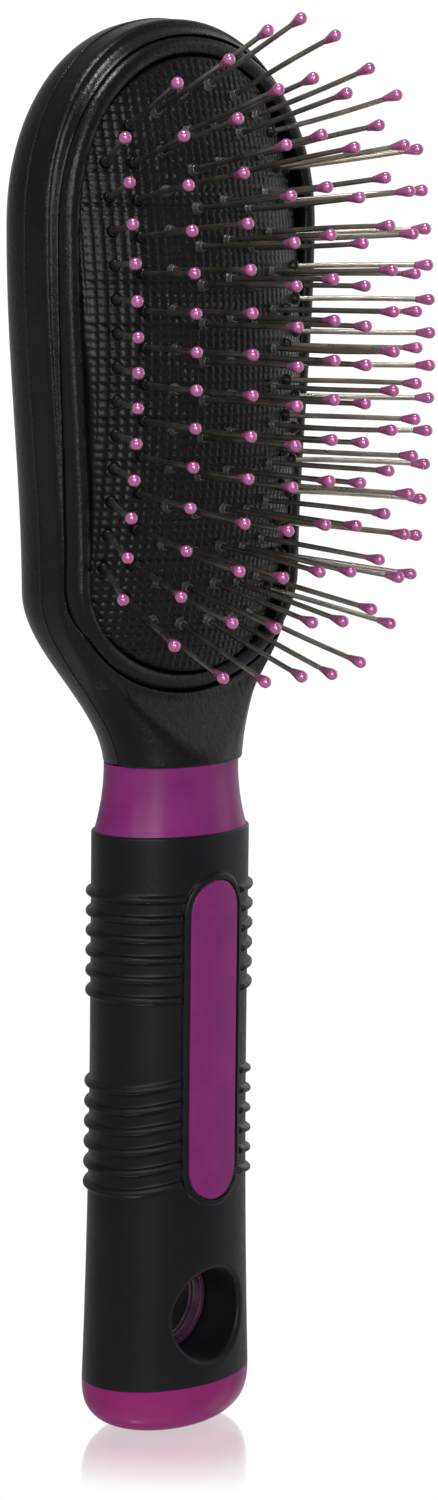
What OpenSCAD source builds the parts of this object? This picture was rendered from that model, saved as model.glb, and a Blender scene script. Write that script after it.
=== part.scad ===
// Cushion paddle brush: a black oval head that holds a domed rubber air cushion with 127
// ball-tipped wire pins, on a magenta handle core with a ribbed rubber grip and a hanging hole.
// +Z runs up the handle to the crown and the pins point along -Y. Heights are measured from the
// butt, and the finished model is lowered so that its origin is the middle of the hanging hole.

/* [Overall] */
// Overall length, butt to crown
total_h = 236.4; // [232:0.2:242]
// Height at which the black head starts
neck_z = 115.4; // [114:0.2:116.6]

/* [Head] */
// Widest width of the head
head_w = 62.6; // [61:0.2:65]
// Width of the head just above the neck
head_low_w = 54.6; // [53:0.2:56]
// How far the front frame's flat stands ahead of the handle's axis plane
plateau = 4; // [3.8:0.1:4.2]
// Depth of the back shell behind the parting line
back_depth = 12.5; // [12:0.1:14]
// Width of the ring that holds the cushion
ring_w = 3.2; // [3:0.1:3.3]
// How far the ring's crest stands ahead of the handle's axis plane
ring_crest = 5; // [4.8:0.1:5.4]

/* [Cushion] */
// Height of the cushion's apex ahead of the handle's axis plane
dome_h = 13; // [12.6:0.1:13.4]
// Radius of the dome across the head
dome_rx = 43; // [42:1:45]
// Radius of the dome along the head
dome_rz = 176; // [160:2:200]
// Thickness of the rubber
pad_t = 1.6; // [1.2:0.1:1.8]

/* [Pins] */
// Diameter of a wire pin
pin_d = 1; // [0.8:0.1:1.2]
// Length of a pin from the cushion to the centre of its ball
pin_l = 22.8; // [18:0.2:24]
// Diameter of a ball tip
ball_d = 2.1; // [2:0.1:2.5]
// Radial clearance of a pin in its hole
pin_fit = 0.05; // [0.03:0.01:0.1]

/* [Handle] */
// Width of the grip at its waist
grip_w = 30.6; // [30:0.2:32]
// Depth of the handle as a share of its width
flatness = 0.72; // [0.7:0.01:0.74]
// Height of the grip's top edge
grip_top = 104; // [103:0.2:104.6]
// Height of the grip's bottom edge
grip_bottom = 9.3; // [8.5:0.1:9.8]
// Height of a rib over the grip
rib_h = 0.8; // [0.5:0.1:1]
// Radius of the hanging hole in the core
hole_r = 7; // [6.5:0.1:7.2]
// Height of the hanging hole's centre
hole_z = 21; // [20:0.2:22]

/* [Hidden] */
$fn = 48;

black = [0.09, 0.09, 0.1];
magenta = [0.55, 0.12, 0.4];
steel = [0.45, 0.42, 0.38];
pink = [0.8, 0.35, 0.6];

// Head outline: a rounded crown over a slow taper that sweeps in to the neck
crown_n = 2.1;
crown_h = 33.8;
crown_z = total_h - crown_h;
taper_z = 140.4;
neck_a = 13.4;
sweep_h = 30;
parting_neck_y = -1;
parting_head_y = 3;
neck_front = 8.8;
neck_back = 10.8;
shell_steps = 14;

// Front of the frame: a steep wall, a shoulder and a slope up to a flat, which below the
// cushion's ring becomes an apron that leans out to the round neck
wall_steepness = 28;
shoulder_d = 3.2;
front_slope = 1.64;
plateau_neck = 10.4;
apron_h = 12.5;

// Opening for the cushion: a rounded crown, a taper and a rounded foot
open_w = 58.6;
open_low_w = 52.8;
open_top_h = 30.9;
open_low_h = 19.1;
open_low_z = 146.4;
open_low_n = 1.95;
flange_front = -0.9;
ledge_front = 0.6;
ledge_w = 2.6;
wall_gap = 0.2;
wall_t = 1.2;
chamber_inset = 5;
chamber_floor = 9.5;
dome_z = 180.8;

// Pins: nine lengthwise columns, mirrored about the middle one
col_x = [0, 6, 11.5, 16.5, 20.7];
col_count = [15, 15, 14, 14, 13];
col_pitch = [6.23, 6.14, 6.32, 5.85, 5.4];
col_mid_z = [183.25, 182.4, 181.2, 181.85, 181.6];
foot_gap = 0.4;
foot_t = 0.8;
foot_r = 1.2;
seat_r = 1.1;
seat_h = 0.9;
seat_gap = 0.35;

// Handle
core_r = 8.6;
core_offset = 4.4;
waist_z = 70.4;
butt_swell = 1.2;
cap_n = 3;
neck_core_a = 13;
tongue = [16, 9, 8];
spigot_r = 4;
spigot_h = 4.5;
panel_r = 5.6;
panel_low = 41.3;
panel_high = 96.3;
rim_w = 1.2;
rim_h = 0.6;
rib_half = 0.9;
panel_raise = 0.4;
upper_ribs = [76.6, 3.4, 6];
lower_ribs = [43.4, 3.5, 6];
ring_points = 36;

// Smooth step from 0 to 1
function ease(t) = let(u = min(1, max(0, t))) u * u * (3 - 2 * u);
function mix(a, b, t) = a + (b - a) * t;
// Half-turn cosine blend from 0 to 1
function swing(t) = (1 - cos(180 * min(1, max(0, t)))) / 2;
// The rest of a superellipse of order n at ratio r
function rest(r, n) = pow(max(0, 1 - pow(min(1, abs(r)), n)), 1 / n);
function neck_blend(z) = ease((z - neck_z + 1) / sweep_h);

// Half-width of the head's outline at height z
function head_a(z) =
    z > crown_z
    ? head_w / 2 * rest((z - crown_z) / crown_h, crown_n)
    : let(body = mix(head_w, head_low_w, swing((crown_z - z) / (crown_z - taper_z))) / 2)
      mix(neck_a, body, neck_blend(z));

// How near a point is to the outline: 0 on the middle line, 1 on the edge
function edge_ratio(x, z) =
    z > crown_z
    ? pow(pow(abs(x) * 2 / head_w, crown_n) + pow((z - crown_z) / crown_h, crown_n), 1 / crown_n)
    : abs(x) / head_a(z);

function parting_y(z) = mix(parting_neck_y, parting_head_y, neck_blend(z));
// Lesser of two values, rounded where they cross
function soft_min(a, b, k) = let(h = max(k - abs(a - b), 0) / k) min(a, b) - h * h * k / 4;
// Distance in from the outline
function edge_gap(x, z) =
    (1 - edge_ratio(x, z))
    * (z > crown_z ? mix(head_w / 2, crown_h, (z - crown_z) / crown_h) : head_a(z));
function front_y(x, z) =
    let(gap = edge_gap(x, z),
        wall = soft_min(wall_steepness * gap, shoulder_d + front_slope * gap, 1.2),
        neck = neck_front * rest(edge_ratio(x, z), 2),
        flank = mix(neck, wall, ease((z - neck_z - 10) / 9)),
        lean = mix(plateau_neck, plateau, (z - neck_z) / apron_h),
        flat = -soft_min(-lean, -plateau, 1.2))
    parting_y(z) - soft_min(flank, parting_y(z) + flat, 0.9);
function back_y(x, z) =
    parting_y(z) + mix(neck_back, back_depth, neck_blend(z))
    * rest(edge_ratio(x, z), mix(2, 2.8, neck_blend(z)));

// Heights of the head's sections, closer together at the neck and the crown
head_zs = concat(
    [for (i = [0:11]) neck_z + i * sweep_h / 12],
    [for (i = [0:6]) neck_z + sweep_h + i * (crown_z - neck_z - sweep_h) / 7],
    [for (i = [0:13]) crown_z + crown_h * sin(i * 89 / 13)]
);

// One half of the head, from the parting surface out to y = front_y or back_y
module head_half(front) {
    n = 2 * shell_steps;
    rings = len(head_zs);
    points = [
        for (z = head_zs, j = [0:n])
            let(x = -head_a(z) * cos(180 * j / n), d = j == 0 || j == n)
            [x, d ? parting_y(z) : front ? front_y(x, z) : back_y(x, z), z]
    ];
    m = n + 1;
    sides = [
        for (i = [0:rings - 2], j = [0:n])
            [i * m + j, i * m + (j + 1) % m, (i + 1) * m + (j + 1) % m, (i + 1) * m + j]
    ];
    ends = [[for (j = [n:-1:0]) j], [for (j = [0:n]) (rings - 1) * m + j]];
    if (front) polyhedron(points, concat(sides, ends), convexity = 4);
    else polyhedron(points, [for (f = concat(sides, ends)) [for (i = [len(f) - 1:-1:0]) f[i]]],
                    convexity = 4);
}

// Outline of the cushion's opening, drawn in by d, as [x, z] points
function opening(d) =
    let(a = open_w / 2 - d, h = open_top_h - d, al = open_low_w / 2 - d, hl = open_low_h - d)
    concat(
        [for (i = [0:24]) let(t = 180 * i / 24)
            [a * sign(cos(t)) * pow(abs(cos(t)), 2 / crown_n),
             crown_z + h * pow(sin(t), 2 / crown_n)]],
        [for (i = [1:5]) let(s = i / 6) [-mix(a, al, swing(s)), mix(crown_z, open_low_z, s)]],
        [for (i = [0:20]) let(t = 180 * i / 20)
            [-al * sign(cos(t)) * pow(abs(cos(t)), 2 / open_low_n),
             open_low_z - hl * pow(sin(t), 2 / open_low_n)]],
        [for (i = [5:-1:1]) let(s = i / 6) [mix(a, al, swing(s)), mix(crown_z, open_low_z, s)]]
    );

// Prism of the opening between two depths
module opening_prism(d, y0, y1) {
    translate([0, y1, 0]) rotate([90, 0, 0]) linear_extrude(y1 - y0) polygon(opening(d));
}

// Solid inside the dome's surface, drawn in by t: a wide ring turned about an axis along X
module dome_body(t) {
    translate([0, dome_rz - dome_h, dome_z]) rotate([0, 90, 0])
        rotate_extrude() translate([dome_rz - dome_rx, 0]) circle(dome_rx - t);
}

function dome_y(x, z) =
    dome_rz - dome_h
    - sqrt(pow(dome_rz - dome_rx + sqrt(dome_rx * dome_rx - x * x), 2) - pow(z - dome_z, 2));

// Column k of 1 to 9, from -X to +X
function side(k) = sign(k - 5);
function tier(k) = abs(k - 5);
function pin_x(k) = side(k) * col_x[tier(k)];
function pin_z(k, j) = col_mid_z[tier(k)] - col_pitch[tier(k)] * (j - (col_count[tier(k)] - 1) / 2);
function pin_base(k, j) =
    let(x = pin_x(k), z = pin_z(k, j)) [x, dome_y(x, z), z];
// The pins fan out across the head, and splay at its two ends
function pin_lean(k, j) =
    let(x = pin_x(k) / 10, w = (pin_z(k, j) - dome_z) / 10)
    [0.13 * x + 0.052 * pow(x, 3), -1, 0.005 * pow(w, 3)];

// Places children on the cushion at pin j of column k, with +Z along the pin
module at_pin(k, j) {
    d = pin_lean(k, j) / norm(pin_lean(k, j));
    translate(pin_base(k, j)) rotate([0, acos(d[2]), atan2(d[1], d[0])]) children();
}
module each_pin(k) {
    for (j = [0:col_count[tier(k)] - 1]) at_pin(k, j) children();
}
module shaft(extra) {
    back = pad_t + foot_gap;
    translate([0, 0, -back]) cylinder(h = back + pin_l, d = pin_d + 2 * extra, $fn = 24);
}

// Handle
function grip_a(z) = grip_w / 2 + (z < waist_z ? butt_swell * pow((waist_z - z) / 63, 2) : 0);
function neck_core(z) = neck_core_a + (grip_w / 2 - 0.2 - neck_core_a)
    * pow((neck_z - z) / (neck_z - grip_top), 2.2);
function cap_a(z) = grip_a(grip_bottom) * rest(1 - (z + 0.05) / grip_bottom, cap_n);
function bump(z, first, pitch, count) =
    let(i = min(count - 1, max(0, round((z - first) / pitch))))
    max(0, 1 - abs(z - first - i * pitch) / rib_half);
function rib(z) = max(bump(z, upper_ribs[0], upper_ribs[1], upper_ribs[2]),
                      bump(z, lower_ribs[0], lower_ribs[1], lower_ribs[2]));
function rib_zs(set) = [for (i = [0:set[2] - 1], s = [-1, 0, 1]) set[0] + i * set[1] + s * rib_half];

// A flattened column through sections [z, half-width, rib height]; ribs stop beside the panel
module flat_column(sections) {
    m = ring_points;
    rings = len(sections);
    points = [
        for (s = sections, j = [0:m - 1])
            let(t = 360 * j / m, a = s[1] + (sin(t) < -0.7 ? 0 : s[2]))
            [a * cos(t), a * flatness * sin(t), s[0]]
    ];
    sides = [
        for (i = [0:rings - 2], j = [0:m - 1])
            [i * m + j, (i + 1) * m + j, (i + 1) * m + (j + 1) % m, i * m + (j + 1) % m]
    ];
    ends = [[for (j = [0:m - 1]) j], [for (j = [m - 1:-1:0]) (rings - 1) * m + j]];
    polyhedron(points, concat(sides, ends), convexity = 4);
}
// Stadium prism of the core between two heights
module core_prism(z0, z1) {
    translate([0, 0, z0]) linear_extrude(z1 - z0) {
        square([2 * core_offset, 2 * core_r], center = true);
        for (s = [-1, 1]) translate([s * core_offset, 0]) circle(core_r);
    }
}
// Upright stadium on the front of the handle, drawn out by d
module panel_prism(d, y0, y1) {
    r = panel_r + d;
    translate([0, y1, 0]) rotate([90, 0, 0]) linear_extrude(y1 - y0) {
        translate([-r, panel_low + panel_r]) square([2 * r, panel_high - panel_low - 2 * panel_r]);
        for (z = [panel_low + panel_r, panel_high - panel_r]) translate([0, z]) circle(r);
    }
}
// Upright cylinder that follows the front of the grip, raised by d
module front_cylinder(d) {
    r = grip_w / 2 / flatness;
    translate([0, r - grip_w / 2 * flatness, 0]) cylinder(h = total_h, r = r + d, $fn = 96);
}
module hole(r, depth) {
    translate([0, depth / 2, hole_z]) rotate([90, 0, 0]) cylinder(h = depth, r = r);
}
module tongue_block(extra) {
    translate([-tongue[0] / 2, -tongue[1] / 2, neck_z - extra])
        cube([tongue[0], tongue[1], tongue[2] + extra]);
}

// Sub-parts
module back_shell() {
    color(black) difference() {
        head_half(false);
        opening_prism(chamber_inset, 0, chamber_floor);
        tongue_block(1);
    }
}
module front_frame() {
    color(black) difference() {
        head_half(true);
        opening_prism(0, -20, ledge_front);
        opening_prism(ledge_w, ledge_front - 0.1, parting_head_y + 1);
        tongue_block(1);
    }
}
module cushion_ring() {
    color(black) difference() {
        union() {
            opening_prism(0.05, -ring_crest + 0.9, flange_front - 0.05);
            opening_prism(0.75, -ring_crest, -ring_crest + 1);
        }
        opening_prism(ring_w, -20, 0);
    }
}
module rubber_cushion() {
    inset = ring_w + wall_gap;
    color(black) difference() {
        union() {
            opening_prism(0.6, flange_front, ledge_front);
            intersection() {
                opening_prism(inset, -20, flange_front + 0.1);
                dome_body(0);
            }
        }
        intersection() {
            opening_prism(inset + wall_t, -20, 2);
            dome_body(pad_t);
        }
        for (k = [1:9]) each_pin(k) shaft(pin_fit);
    }
}
module handle_core() {
    color(magenta) difference() {
        union() {
            flat_column([for (i = [0:8]) let(z = mix(grip_top, neck_z, i / 8)) [z, neck_core(z), 0]]);
            core_prism(grip_bottom, grip_top + 0.5);
            tongue_block(1);
        }
        hole(hole_r, 40);
        translate([0, 0, grip_bottom - 1]) cylinder(h = spigot_h + 1, r = spigot_r);
    }
}
module rubber_grip() {
    zs = concat([grip_bottom, 19, 31], rib_zs(lower_ribs), [waist_z], rib_zs(upper_ribs),
                [grip_top - 0.8]);
    color(black) difference() {
        union() {
            flat_column(concat([for (z = zs) [z, grip_a(z), rib_h * rib(z)]],
                               [[grip_top, grip_a(grip_top) - 0.4, 0]]));
            intersection() {
                panel_prism(rim_w, -20, -core_r);
                front_cylinder(rim_h);
            }
        }
        core_prism(0, total_h);
        panel_prism(0, -20, -core_r + 0.1);
        hole(hole_r + 0.5, 40);
    }
}
module panel_inlay() {
    color(magenta) intersection() {
        panel_prism(0, -20, -core_r);
        front_cylinder(panel_raise);
    }
}
module end_cap() {
    color(magenta) union() {
        flat_column([for (i = [0:8]) let(z = grip_bottom * (1 - cos(90 * i / 8))) [z, cap_a(z), 0]]);
        translate([0, 0, grip_bottom - 0.5]) cylinder(h = spigot_h + 0.5, r = spigot_r);
    }
}
module pin_wires(k) {
    color(steel) each_pin(k) {
        shaft(0);
        translate([0, 0, -pad_t - foot_gap - foot_t]) cylinder(h = foot_t, r = foot_r, $fn = 24);
    }
}
module ball_tips(k) {
    r = ball_d / 2;
    color(pink) difference() {
        each_pin(k) {
            translate([0, 0, pin_l]) sphere(r, $fn = 32);
            translate([0, 0, pin_l - 2 * r]) cylinder(h = 2 * r - 0.5, r1 = pin_d / 2 + 0.15, r2 = r * 0.9);
        }
        each_pin(k) shaft(0);
    }
}
module pin_seats(k) {
    color(black) difference() {
        each_pin(k) translate([0, 0, seat_gap]) cylinder(h = seat_h, r = seat_r, $fn = 32);
        each_pin(k) shaft(pin_fit);
    }
}

// Lowers the model from butt heights to the hanging hole
module placed() {
    translate([0, 0, -hole_z]) children();
}

placed() back_shell();
placed() front_frame();
placed() cushion_ring();
placed() rubber_cushion();
placed() handle_core();
placed() rubber_grip();
placed() panel_inlay();
placed() end_cap();
for (k = [1:9]) {
    placed() pin_wires(k);
    placed() ball_tips(k);
    placed() pin_seats(k);
}
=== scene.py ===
"""Looks of the cushion paddle brush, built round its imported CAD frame.

The object's lengths are millimetres and its heights are measured from the butt, as in the design.
Solid.piece() turns them into the frame's metres, whose origin is the middle of the hanging hole.
+Z runs up the handle to the crown, and the pins point along -Y. Camera and lights are in metres.
"""

import math
import random

import bmesh
import bpy
from mathutils import Matrix, Vector


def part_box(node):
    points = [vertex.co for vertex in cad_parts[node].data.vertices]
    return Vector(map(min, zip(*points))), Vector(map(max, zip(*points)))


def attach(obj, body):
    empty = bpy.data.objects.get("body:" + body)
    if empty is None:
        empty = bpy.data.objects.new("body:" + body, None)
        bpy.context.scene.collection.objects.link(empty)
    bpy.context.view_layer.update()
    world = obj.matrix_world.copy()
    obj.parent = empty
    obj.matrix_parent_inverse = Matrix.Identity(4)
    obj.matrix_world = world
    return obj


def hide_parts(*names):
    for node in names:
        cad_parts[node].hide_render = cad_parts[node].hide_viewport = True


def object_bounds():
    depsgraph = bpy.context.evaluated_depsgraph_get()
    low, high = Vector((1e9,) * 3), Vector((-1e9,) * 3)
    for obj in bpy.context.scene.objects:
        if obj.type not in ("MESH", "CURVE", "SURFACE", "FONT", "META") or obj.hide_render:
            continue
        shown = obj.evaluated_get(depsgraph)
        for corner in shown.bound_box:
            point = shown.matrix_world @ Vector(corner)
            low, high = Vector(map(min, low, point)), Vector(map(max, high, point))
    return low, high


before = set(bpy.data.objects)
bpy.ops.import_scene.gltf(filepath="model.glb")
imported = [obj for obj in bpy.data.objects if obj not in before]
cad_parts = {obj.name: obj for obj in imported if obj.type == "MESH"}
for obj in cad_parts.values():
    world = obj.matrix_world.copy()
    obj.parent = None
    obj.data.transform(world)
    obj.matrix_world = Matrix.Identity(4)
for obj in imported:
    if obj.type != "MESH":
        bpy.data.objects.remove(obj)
cad_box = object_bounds()

MM = 0.001


def width(node, axis):
    """Size of a CAD node along an axis, in mm."""
    low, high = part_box(node)
    return (high[axis] - low[axis]) / MM


# Driving sizes, read from the frame
HOLE_Z = -cad_box[0].z / MM
TOTAL_H = (cad_box[1].z - cad_box[0].z) / MM
NECK_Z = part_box("back_shell")[0].z / MM + HOLE_Z
HEAD_W = width("back_shell", 0)
GRIP_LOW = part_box("rubber_grip")[0].z / MM + HOLE_Z
GRIP_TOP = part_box("rubber_grip")[1].z / MM + HOLE_Z
PAD_APEX = -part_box("rubber_cushion")[0].y / MM
RING_CREST = -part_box("cushion_ring")[0].y / MM

# Head outline: a rounded crown over a slow taper that sweeps in to the neck
HEAD_LOW_W = 54.6
CROWN_N, CROWN_H = 2.1, 33.8
CROWN_Z = TOTAL_H - CROWN_H
TAPER_Z, SWEEP_H, SIDE_END = 140.4, 30, 144.4
NECK_A = 13.4
SEAM_BEAD = 0.15

# Head depths: the parting line, the back, and the front's wall, shoulder, slope, plateau and apron
PARTING_NECK_Y, PARTING_HEAD_Y = -1, 3
NECK_BACK, BACK_DEPTH = 10.8, 12.5
NECK_BACK_N, BACK_N = 2, 2.8
NECK_FRONT, NECK_FRONT_N = 8.8, 2
FLANK_START, FLANK_H = 10, 9
WALL_STEEPNESS, SHOULDER_D, SLOPE, SHOULDER_BLEND = 28, 3.2, 1.64, 1.2
PLATEAU_HEAD, PLATEAU_NECK, APRON_H = 4.0, 10.4, 12.5
APRON_BLEND, PLATEAU_BLEND = 1.2, 0.9
LIP_R, LIP_SHARE = 0.5, 0.8

# The shoulder's soft ridge and the dip inside it, which the design doesn't have
RIDGE_H, RIDGE_GAP, RIDGE_HALF, RIDGE_START = 0.5, 0.42, 0.42, 0.2
DIP_H, DIP_GAP, DIP_HALF = 0.4, 1.5, 0.5

# Opening for the cushion, ring and dome
OPEN_W, OPEN_LOW_W = 58.6, 52.8
OPEN_TOP_H, OPEN_LOW_H = 30.9, 19.1
OPEN_LOW_Z, OPEN_LOW_N = 146.4, 1.95
RING_W = 3.2
CHAMBER_INSET, CHAMBER_FLOOR, CHAMBER_BEVEL = 5, 9.5, 0.6
LEDGE_W, LEDGE_Y, FLANGE_Y = 2.6, 0.6, -0.9
DOME_RX, DOME_RZ, DOME_Z = 43, 176, 180.8
PAD_INSET, PAD_EDGE_R = RING_W + 0.25, 0.55
CELL_X, CELL_Z, CELL_H = 1.5, 1.36, 0.3
CELL_ROUND, CELL_SQUARE, CELL_FULLNESS, CELL_FADE = 1.8, 3.4, 0.55, 0.5

# Pins: nine lengthwise columns, mirrored about the middle one, which comes first in each list
MIDDLE_COLUMN = 5
COL_X = [0, 6, 11.5, 16.5, 20.7]
COL_COUNT = [15, 15, 14, 14, 13]
COL_PITCH = [6.23, 6.14, 6.32, 5.85, 5.4]
COL_MID_Z = [183.25, 182.4, 181.2, 181.85, 181.6]
PIN_L, PIN_R, BALL_R = 22.8, 0.46, 1.0
PAD_T, FOOT_GAP, FOOT_T, FOOT_R = 1.6, 0.4, 0.8, 1.2
LEAN_UNIT, LEAN_OUT, LEAN_OUT_MORE, LEAN_ALONG = 10, 0.13, 0.052, 0.005
BOW_LEAST, BOW_MOST, WIRE_UNEVEN = 0.04, 0.26, 0.015

# Handle
GRIP_A, GRIP_ROUND, FLATNESS = 15.3, 0.45, 0.72
WAIST_Z, BUTT_SWELL, SWELL_REACH, CAP_N = 70.4, 1.2, 63, 3
NECK_CORE_A, NECK_FLARE, FLARE_POWER, NECK_BURIED = 13, 1.75, 2.2, 3
PANEL_R, PANEL_LOW, PANEL_HIGH = 5.6, 41.3, 96.3
PANEL_GAP, PANEL_EDGE, PANEL_T, PANEL_RAISE = 0.06, 0.3, 1.2, 0.72
RIM_W, RIM_H, RIM_FLAT, RECESS = 1.2, 0.6, 0.55, 0.9
RIB_H, RIB_HALF, RIB_N, RIB_RISE = 0.85, 0.62, 2.4, 2.0
FILLET_H, FILLET_IN, FILLET_W = 0.12, 0.15, 0.6
RIB_FADE_GAP, RIB_FADE_W, RECESS_WALL = 0.05, 0.3, 0.12
UPPER_RIBS, LOWER_RIBS = (76.6, 3.4, 6), (43.4, 3.5, 6)
HOLE_R, HOLE_BEVEL, HOLE_RING_R = 7.8, 1.3, 7.02
HOLE_RIM_R = HOLE_R + HOLE_BEVEL
HOLE_RING_Y = (-1.6, 1.5)
OVAL_SIDES = 160


# Formulas
def mix(a, b, t):
    """The value a share t of the way from a to b."""
    return a + (b - a) * t


def ease(t):
    """Smooth step from 0 to 1."""
    u = min(1, max(0, t))
    return u * u * (3 - 2 * u)


def swing(t):
    """Half a cosine wave from 0 to 1."""
    return (1 - math.cos(math.pi * min(1, max(0, t)))) / 2


def rest(r, n):
    """The rest of a superellipse of order n at ratio r."""
    return max(0, 1 - min(1, abs(r)) ** n) ** (1 / n)


def bow(c, n):
    """A signed power that turns a cosine or sine into a superellipse's."""
    return math.copysign(abs(c) ** (2 / n), c)


def soft_min(a, b, k):
    """The smaller of two values, blended where they are within k of each other."""
    h = max(k - abs(a - b), 0) / k
    return min(a, b) - h * h * k / 4


def turns(count):
    """Angles that go once round in equal steps."""
    return [2 * math.pi * i / count for i in range(count)]


def hump(gap, height, middle, half):
    """A bell curve across the shoulder."""
    return height * math.exp(-((gap - middle) / half) ** 2)


# Shape of the head and the dome, as in the design apart from the ridge and the dip, the lower
# edge's rounding and the room left for the bead on the parting line
def neck_blend(z):
    """0 at the neck, 1 where the head is at its full section."""
    return ease((z - NECK_Z + 1) / SWEEP_H)


def lip(z):
    """How far the head's lower edge is rounded in at height z."""
    t = min(1, max(0, (NECK_Z + LIP_R - z) / LIP_R))
    return LIP_R * (1 - math.sqrt(1 - t * t)) * LIP_SHARE


def head_a(z):
    """Half-width of the head's outline at height z."""
    if z > CROWN_Z:
        return (HEAD_W / 2 - SEAM_BEAD) * rest((z - CROWN_Z) / CROWN_H, CROWN_N)
    body = mix(HEAD_W, HEAD_LOW_W, swing((CROWN_Z - z) / (CROWN_Z - TAPER_Z))) / 2
    return mix(NECK_A, body, neck_blend(z)) - SEAM_BEAD - lip(z)


def edge_ratio(x, z):
    """How near a point is to the outline: 0 on the middle line, 1 on the edge."""
    if z <= CROWN_Z:
        return min(1, abs(x) / head_a(z))
    across = abs(x) / (HEAD_W / 2 - SEAM_BEAD)
    up = (z - CROWN_Z) / (CROWN_H - SEAM_BEAD)
    return min(1, (across ** CROWN_N + up ** CROWN_N) ** (1 / CROWN_N))


def edge_gap(x, z):
    """Rough distance in from the outline."""
    reach = head_a(z) if z <= CROWN_Z else mix(HEAD_W / 2, CROWN_H, (z - CROWN_Z) / CROWN_H)
    return (1 - edge_ratio(x, z)) * reach


def parting_y(z):
    """Depth of the parting line between the head's halves."""
    return mix(PARTING_NECK_Y, PARTING_HEAD_Y, neck_blend(z))


def back_y(x, z):
    """Depth of the back shell's outside."""
    blend = neck_blend(z)
    depth = mix(NECK_BACK, BACK_DEPTH, blend) - lip(z)
    return parting_y(z) + depth * rest(edge_ratio(x, z), mix(NECK_BACK_N, BACK_N, blend))


def front_y(x, z):
    """Front of the frame: a steep wall, a shoulder and a slope up to a plateau, which below
    the ring becomes an apron that leans out to the round neck."""
    gap = edge_gap(x, z)
    wall = soft_min(WALL_STEEPNESS * gap, SHOULDER_D + SLOPE * gap, SHOULDER_BLEND)
    wall += hump(gap, RIDGE_H, RIDGE_GAP, RIDGE_HALF) * ease(gap / RIDGE_START)
    wall -= hump(gap, DIP_H, DIP_GAP, DIP_HALF)
    neck = (NECK_FRONT - lip(z)) * rest(edge_ratio(x, z), NECK_FRONT_N)
    flank = mix(neck, wall, ease((z - NECK_Z - FLANK_START) / FLANK_H))
    lean = mix(PLATEAU_NECK, PLATEAU_HEAD, (z - NECK_Z) / APRON_H)
    plateau = -soft_min(-lean, -PLATEAU_HEAD, APRON_BLEND)
    return parting_y(z) - soft_min(flank, parting_y(z) + plateau, PLATEAU_BLEND)


def dome_y(x, z):
    """Depth of the cushion's domed face."""
    reach = DOME_RZ - DOME_RX + math.sqrt(DOME_RX ** 2 - x * x)
    return DOME_RZ - PAD_APEX - math.sqrt(reach ** 2 - (z - DOME_Z) ** 2)


# Stations round the head, each a part of the outline, how far along it, and the side of the head
CROWN_STEPS, SIDE_STEPS, FOOT_STEPS = 72, 44, 56
SWEEP_SHARE = 0.62


def stations():
    """Crown from right to left, down the left side, round the foot and up the right side."""
    found = [("crown", 180 * i / CROWN_STEPS, 0) for i in range(CROWN_STEPS)]
    found += [("side", i / SIDE_STEPS, -1) for i in range(SIDE_STEPS)]
    found += [("foot", 90 * i / FOOT_STEPS, -1) for i in range(FOOT_STEPS)]
    found += [("foot", 90 - 90 * i / FOOT_STEPS, 1) for i in range(FOOT_STEPS)]
    return found + [("side", 1 - i / SIDE_STEPS, 1) for i in range(SIDE_STEPS)]


STATIONS = stations()


def opening_xz(station, d):
    """Point of the cushion's opening at a station, drawn in by d."""
    part, t, side = station
    a, low_a = OPEN_W / 2 - d, OPEN_LOW_W / 2 - d
    if part == "side":
        return side * mix(a, low_a, swing(t)), mix(CROWN_Z, OPEN_LOW_Z, t)
    c, s = math.cos(math.radians(t)), math.sin(math.radians(t))
    if part == "crown":
        return a * bow(c, CROWN_N), CROWN_Z + (OPEN_TOP_H - d) * bow(s, CROWN_N)
    return side * low_a * bow(c, OPEN_LOW_N), OPEN_LOW_Z - (OPEN_LOW_H - d) * bow(s, OPEN_LOW_N)


def on_lower_edge(station):
    """Whether a station is on the straight edge where the head meets the neck."""
    return station[0] == "foot" and station[1] / 90 >= SWEEP_SHARE


def outline_xz(station, grow=0):
    """Point of the head's outline at a station, moved out by grow except along the lower edge."""
    part, t, side = station
    if part == "crown":
        c, s = math.cos(math.radians(t)), math.sin(math.radians(t))
        reach = HEAD_W / 2 - SEAM_BEAD + grow
        return reach * bow(c, CROWN_N), CROWN_Z + (CROWN_H - SEAM_BEAD + grow) * bow(s, CROWN_N)
    if part == "side":
        z = mix(CROWN_Z, SIDE_END, t)
        return side * (head_a(z) + grow), z
    share = t / 90
    if share < SWEEP_SHARE:
        z = mix(SIDE_END, NECK_Z, share / SWEEP_SHARE)
        return side * (head_a(z) + grow), z
    return side * head_a(NECK_Z) * (1 - share) / (1 - SWEEP_SHARE), NECK_Z


# Mesh building: points closer than WELD become one, and slivers under SLIVER go, both in metres
WELD, SLIVER = 2e-6, 1e-7


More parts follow.
